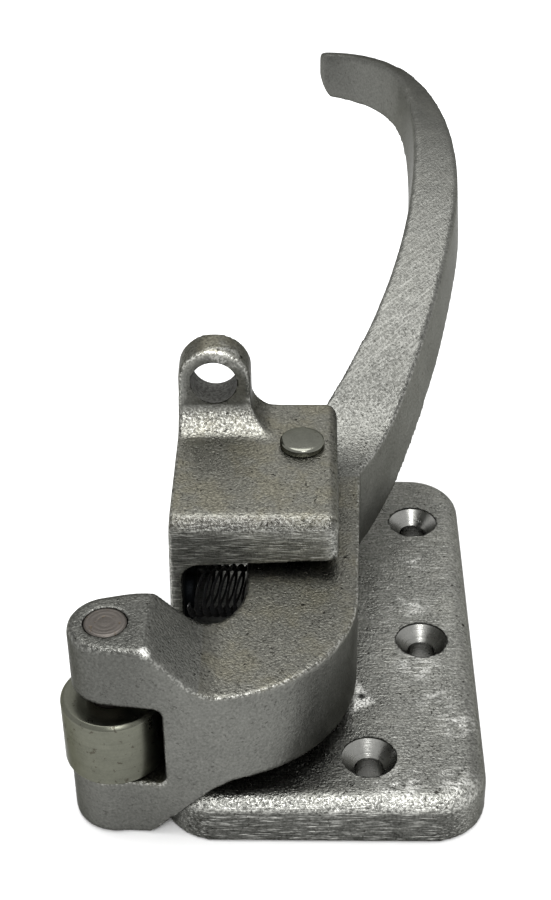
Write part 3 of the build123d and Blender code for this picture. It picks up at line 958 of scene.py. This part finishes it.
class LATCH_OT_handle(bpy.types.Operator):
    """Cast handle with its clevis, arm and curved lever"""

    bl_idname = "latch.handle_casting"
    bl_label = "Handle casting"

    # In millimetres
    GLINT_CORNER = (-37.8, -59.0, 54.3)
    LEVER_Y = 62.0
    TIP_Y = 165.0
    TIP_MIDDLE_Y = 170.0
    TIP_LOW_Z = 78.0
    TIP_HIGH_Z = 82.0
    TIP_REACH = 11.0
    ARM_TOP = 44.0
    CAP_UNDERSIDE = 42.3
    UNDER_CAP_Y = (-16.0, 16.0)
    ROOT_Y = (36.0, 50.0)
    HOOK_Y = 120.0

    def execute(self, context):
        settings = context.scene.latch_casting
        shape = merged_copy("handle_casting")
        skin = cast_skin("handle skin", shape, settings)
        shape.free()
        self.soften_lever(skin, settings)
        self.paint(skin)
        mesh = bpy.data.meshes.new("cast handle")
        skin.to_mesh(mesh)
        skin.free()
        cast = cast_material("Sand-cast handle", settings, 39.0)
        finish_mesh("cast_handle", mesh, [cast], "handle", "handle_casting")
        return {"FINISHED"}

    # The long edges are rounded, and the tip's lower corner is cut back in a curve
    def soften_lever(self, skin, settings):
        lever = [vert for vert in skin.verts if vert.co.y > self.LEVER_Y * MM]
        smooth(skin, lever, settings.lever_passes)
        edge = skin.verts.layers.float["edge"]
        for vert in lever:
            vert[edge] = 0.0
        low = min(vert.co.x for vert in lever if vert.co.y > self.TIP_MIDDLE_Y * MM)
        for vert in lever:
            if vert.co.y > self.TIP_Y * MM:
                drop = share((self.TIP_LOW_Z * MM - vert.co.z) / (8.0 * MM))
                rise = share((vert.co.z - self.TIP_HIGH_Z * MM) / (7.0 * MM))
                fade = share(1.0 - (vert.co.x - low) / (self.TIP_REACH * MM))
                vert.co.x += settings.tip_cut * (drop**1.7 + 0.7 * rise**2) * fade
        skin.normal_update()

    def paint(self, skin):
        values = {name: [] for name in PAINTS}
        for vert in skin.verts:
            spot = vert.co / MM
            up = max(0.0, vert.normal.z)
            front = max(0.0, -vert.normal.y)
            along = share((spot.y - 30.0) / 25.0) * share((140.0 - spot.y) / 60.0)
            left = share(0.5 - (spot.x - 6.0 - 0.35 * (spot.y - 60.0)) / 12.0)
            values["sanded"].append((0.35 + 0.6 * left) * along * up)
            values["stained"].append(0.9 * up if spot.y < 20 and spot.z < self.ARM_TOP else 0.1 * up)
            # Painted shade: darker on the arm's inner side and under the cap
            inside = 0.8 * share(min(-15.0 - spot.x, 42.5 - spot.z) / 3.0) * share((spot.y + 32.0) / 12.0)
            under_cap = share(min(spot.y - self.UNDER_CAP_Y[0], self.CAP_UNDERSIDE - spot.z) / 1.5)
            under_cap *= share((self.UNDER_CAP_Y[1] - spot.y) / 12.0)
            values["housing_shade"].append(max(inside, under_cap) if spot.y < 33 and spot.x < 5 else 0.0)
            # Painted glint: a white spot on the left ear's front corner
            values["scratch_and_glint"].append(share(1.7 - (spot - Vector(self.GLINT_CORNER)).length))
            arm = self.arm_shade(spot, up, front)
            lever = self.lever_shade(spot, up, front, abs(vert.normal.x))
            on_lever = share((spot.y - self.ROOT_Y[0]) / (self.ROOT_Y[1] - self.ROOT_Y[0]))
            values["shade"].append(arm + (lever - arm) * on_lever)
            # Painted highlight on the rounded edges that face up and forward
            values["painted_glint"].append(0.4 * share((2.0 * up * front - 0.6) / 0.3))
            calm = max(0.8 * share((0.75 - up) / 0.25), share((spot.y - 70.0) / 60.0))
            values["calm"].append(max(calm, 0.7 * share((spot.y - 35.0) / 15.0)))
        write_paints(skin, values)

    # Painted light and shade on the arm and the ears: lighter on slopes, darker at the ears
    def arm_shade(self, spot, up, front):
        ear = share((-30.0 - spot.x) / 12.0)
        slope = share(1.0 - abs(up - 0.6) / 0.3)
        shade = 1.0 - 0.12 * share(front * 2.0) + 0.32 * slope
        return shade - ear * (0.08 if spot.z < 30 else 0.28) * share(front + up)

    # Painted light and shade on the lever: darker at its root and on the hook's front, lighter on its sides
    def lever_shade(self, spot, up, front, sideways):
        hook = share((spot.y - self.HOOK_Y) / 30.0)
        root = share((66.0 - spot.y) / 20.0)
        return 0.70 - 0.16 * root * up + 0.50 * sideways - 0.40 * front * hook


class LATCH_OT_pivot_pin(bpy.types.Operator):
    """Pivot pin with its round head over the cap"""

    bl_idname = "latch.pivot_pin"
    bl_label = "Pivot pin"

    SHANK_R = 4.5 * MM
    HEAD_HEIGHT = 2.2 * MM

    def execute(self, context):
        settings = context.scene.latch_fittings
        low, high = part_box("pivot_pin")
        centre = (low + high) / 2
        head_r = (high.x - low.x) / 2
        foot = (centre.x, centre.y, 0.0)
        seat = high.z - self.HEAD_HEIGHT
        shoulder = (head_r, high.z - 0.75 * MM)
        crown = (head_r - 0.35 * MM, high.z - 0.3 * MM)
        outline = (
            (0, low.z),
            (self.SHANK_R, low.z),
            (self.SHANK_R, seat),
            (head_r - 0.15 * MM, seat),
            (head_r, seat + 0.25 * MM),
            shoulder,
            crown,
            (head_r - 1.3 * MM, high.z - 0.06 * MM),
            (0, high.z),
        )
        place = Matrix.Translation(foot)
        mesh = turned_mesh("pivot pin", outline, place, TURN_STEPS, settings.rim_rounding, (shoulder, crown))
        mesh.set_sharp_from_angle(angle=math.radians(50))
        metal = turned_material(
            "Pivot head steel",
            tuple(settings.pivot_color),
            foot,
            roughness=0.10,
            ring=0.5 * MM,
            ring_depth=0.03 * MM,
            nick_share=0.36,
            nick_color=(0.07, 0.062, 0.05),
        )
        finish_mesh("pivot_head_pin", mesh, [metal], "base", "pivot_pin")
        return {"FINISHED"}


class LATCH_OT_roller(bpy.types.Operator):
    """Roller between the ears of the clevis"""

    bl_idname = "latch.roller"
    bl_label = "Roller"

    BORE_R = 4.75 * MM
    BORE_CUT = 0.3 * MM
    RIM_CUT = 0.8 * MM
    ROLLER_STEPS = 128

    def execute(self, context):
        settings = context.scene.latch_fittings
        low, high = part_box("roller")
        centre = (low + high) / 2
        outer = (high.x - low.x) / 2
        foot = (centre.x, centre.y, 0.0)
        rims = (
            (outer - self.RIM_CUT, low.z),
            (outer, low.z + self.RIM_CUT),
            (outer, high.z - self.RIM_CUT),
            (outer - self.RIM_CUT, high.z),
        )
        outline = (
            (self.BORE_R, low.z + self.BORE_CUT),
            (self.BORE_R + self.BORE_CUT, low.z),
            *rims,
            (self.BORE_R + self.BORE_CUT, high.z),
            (self.BORE_R, high.z - self.BORE_CUT),
            (self.BORE_R, low.z + self.BORE_CUT),
        )
        place = Matrix.Translation(foot)
        mesh = turned_mesh("roller", outline, place, self.ROLLER_STEPS, settings.rim_rounding, rims)
        mesh.set_sharp_from_angle(angle=math.radians(50))
        metal = turned_material(
            "Plated roller steel",
            tuple(settings.roller_color),
            foot,
            roughness=0.20,
            ring=0.9 * MM,
            ring_depth=0.02 * MM,
            nick_share=0.38,
            nick_color=(0.05, 0.045, 0.035),
        )
        finish_mesh("latch_roller", mesh, [metal], "roller", "roller")
        return {"FINISHED"}


class LATCH_OT_roller_pin(bpy.types.Operator):
    """Riveted pin through the clevis, flush with both ears"""

    bl_idname = "latch.roller_pin"
    bl_label = "Roller pin"

    EDGE_CUT = 0.3 * MM
    GROOVES = (0.80, 0.58, 0.36)
    GROOVE_HALF = 0.22 * MM
    GROOVE_DEPTH = 0.04 * MM

    def execute(self, context):
        settings = context.scene.latch_fittings
        low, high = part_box("roller_pin")
        centre = (low + high) / 2
        radius = (high.x - low.x) / 2
        foot = (centre.x, centre.y, 0.0)
        outline = [(0, low.z), (radius - self.EDGE_CUT, low.z), (radius, low.z + self.EDGE_CUT)]
        outline += [(radius, high.z - 0.35 * MM), (radius - self.EDGE_CUT, high.z - 0.05 * MM)]
        for part in self.GROOVES:
            outline += [
                (radius * part + self.GROOVE_HALF, high.z),
                (radius * part, high.z - self.GROOVE_DEPTH),
                (radius * part - self.GROOVE_HALF, high.z),
            ]
        outline += [(0, high.z - 0.05 * MM)]
        mesh = turned_mesh("roller pin", outline, Matrix.Translation(foot), TURN_STEPS)
        mesh.set_sharp_from_angle(angle=math.radians(40))
        metal = turned_material(
            "Riveted pin steel",
            tuple(settings.roller_pin_color),
            foot,
            roughness=0.34,
            ring=0.5 * MM,
            ring_depth=0.05 * MM,
            nick_share=0.40,
            nick_color=(0.09, 0.07, 0.05),
        )
        finish_mesh("riveted_roller_pin", mesh, [metal], "handle", "roller_pin")
        return {"FINISHED"}


class LATCH_OT_spring(bpy.types.Operator):
    """Round wire spring between the wall and the arm"""

    bl_idname = "latch.spring"
    bl_label = "Return spring"

    STEPS_IN_TURN = 32

    def execute(self, context):
        settings = context.scene.latch_fittings
        low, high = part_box("return_spring")
        wire = settings.wire_radius
        centre = (low + high) / 2
        coil = (high.z - low.z) / 2 - wire
        lean = settings.coil_slant * coil
        start = low.x + lean + wire * 1.02
        length = high.x - low.x - 2 * lean - 2.04 * wire
        steps = round(settings.spring_turns * self.STEPS_IN_TURN)
        about_x = Matrix.Rotation(math.radians(90), 3, "X")
        about_z = Matrix.Rotation(math.radians(90), 3, "Z")

        # The wire's section, stood upright beside the axis at the start, then turned along it
        shape = bmesh.new()
        ring = bmesh.ops.create_circle(shape, cap_ends=False, radius=wire, segments=14)["verts"]
        bmesh.ops.rotate(shape, cent=(0, 0, 0), matrix=about_x, verts=ring)
        bmesh.ops.translate(shape, vec=(0, 0, coil), verts=ring)
        bmesh.ops.rotate(shape, cent=(0, 0, 0), matrix=about_z, verts=ring)
        bmesh.ops.translate(shape, vec=(start, 0, 0), verts=ring)
        bmesh.ops.rotate(shape, cent=(start, 0, 0), matrix=about_x, verts=ring)
        bmesh.ops.spin(
            shape,
            geom=shape.verts[:] + shape.edges[:],
            cent=(start, 0, 0),
            axis=(1, 0, 0),
            dvec=(length / steps, 0, 0),
            angle=math.tau * settings.spring_turns,
            steps=steps,
            use_merge=False,
            use_normal_flip=False,
            use_duplicate=False,
        )
        bmesh.ops.holes_fill(shape, edges=[edge for edge in shape.edges if edge.is_boundary], sides=0)
        bmesh.ops.recalc_face_normals(shape, faces=shape.faces)
        slant = Matrix.Identity(4)
        slant[0][1] = settings.coil_slant
        bmesh.ops.transform(shape, matrix=slant, verts=shape.verts)
        bmesh.ops.translate(shape, vec=(0, centre.y, centre.z), verts=shape.verts)
        mesh = bpy.data.meshes.new("spring wire")
        shape.to_mesh(mesh)
        shape.free()
        materials = [spring_material(settings)]
        spring = finish_mesh("spring_wire", mesh, materials, None, "return_spring")
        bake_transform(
            spring,
            "base",
            "handle",
            start=(low.x, centre.y, centre.z),
            end=(high.x, centre.y, centre.z),
        )
        return {"FINISHED"}


class LATCH_PT_panel(bpy.types.Panel):
    """Pieces of the latch and their settings"""

    bl_idname = "LATCH_PT_panel"
    bl_label = "Roller latch"
    bl_space_type = "VIEW_3D"
    bl_region_type = "UI"
    bl_category = "Latch"

    def draw(self, context):
        layout = self.layout
        for group_name, _ in GROUPS:
            settings = getattr(context.scene, group_name)
            box = layout.box()
            for name in settings.bl_rna.properties.keys():
                if name not in ("rna_type", "name"):
                    box.prop(settings, name)
        for operator in OPERATORS:
            layout.operator(operator.bl_idname)


GROUPS = (
    ("latch_stage", StageSettings),
    ("latch_casting", CastingSettings),
    ("latch_fittings", FittingSettings),
)
OPERATORS = (
    LATCH_OT_stage,
    LATCH_OT_base,
    LATCH_OT_handle,
    LATCH_OT_pivot_pin,
    LATCH_OT_roller,
    LATCH_OT_roller_pin,
    LATCH_OT_spring,
)


def register():
    for name, group in GROUPS:
        bpy.utils.register_class(group)
        setattr(bpy.types.Scene, name, bpy.props.PointerProperty(type=group))
    for operator in OPERATORS:
        bpy.utils.register_class(operator)
    bpy.utils.register_class(LATCH_PT_panel)


def unregister():
    bpy.utils.unregister_class(LATCH_PT_panel)
    for operator in reversed(OPERATORS):
        bpy.utils.unregister_class(operator)
    for name, group in reversed(GROUPS):
        delattr(bpy.types.Scene, name)
        bpy.utils.unregister_class(group)


def main():
    register()
    bpy.ops.latch.stage()
    bpy.ops.latch.base_casting()
    bpy.ops.latch.handle_casting()
    bpy.ops.latch.pivot_pin()
    bpy.ops.latch.roller()
    bpy.ops.latch.roller_pin()
    bpy.ops.latch.spring()


if __name__ == "__main__":
    main()
